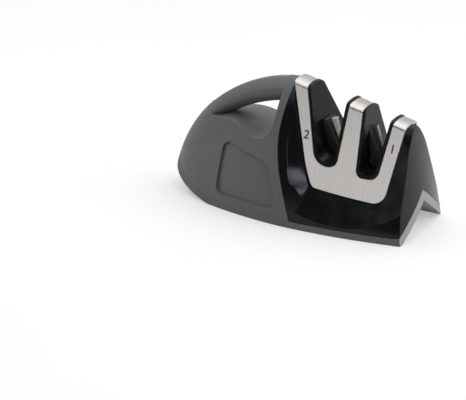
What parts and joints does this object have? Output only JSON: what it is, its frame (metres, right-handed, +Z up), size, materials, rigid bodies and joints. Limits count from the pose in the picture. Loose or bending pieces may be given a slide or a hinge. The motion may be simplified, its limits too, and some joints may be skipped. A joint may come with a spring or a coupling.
{
  "type": "manual knife sharpener",
  "caption": "Hand-held pull-through knife sharpener: loop handle, steel-clad wedge head with crossed carbide and ceramic slots, notched rubber base.",
  "frame": {"origin": "on the surface it stands on, under the middle of the bounding box", "axes": "+X along the body towards the nose, -Y towards the front side of the knife slots, +Z up"},
  "size_m": [0.143, 0.0636, 0.0704],
  "materials": {
    "lining": "matt light grey rubber",
    "handle": "fine matt soft-touch grey",
    "head": "satin charcoal",
    "plate": "brushed",
    "guide": "gloss black",
    "holder": "matt black",
    "carbide": "ground grey carbide",
    "stone": "fine white ceramic",
    "chassis": "matt black",
    "screw": "zinc plated",
    "plug": "matt grey"
  },
  "bodies": {
    "root": {"base_lining": "lining", "base_chassis": "chassis", "head_housing_front": "head", "head_housing_rear": "head", "handle_shell_front": "handle", "handle_shell_rear": "handle", "cover_plate": "plate", "coarse_slot_guide": "guide", "fine_slot_guide": "guide", "carbide_holder_front": "holder", "carbide_holder_rear": "holder", "carbide_blade_front": "carbide", "carbide_blade_rear": "carbide", "ceramic_holder_front": "holder", "ceramic_holder_rear": "holder", "ceramic_stone_front": "stone", "ceramic_stone_rear": "stone", "head_screws": "screw", "handle_screws": "screw", "holder_screws": "screw", "screw_plugs": "plug"}
  },
  "joints": []
}
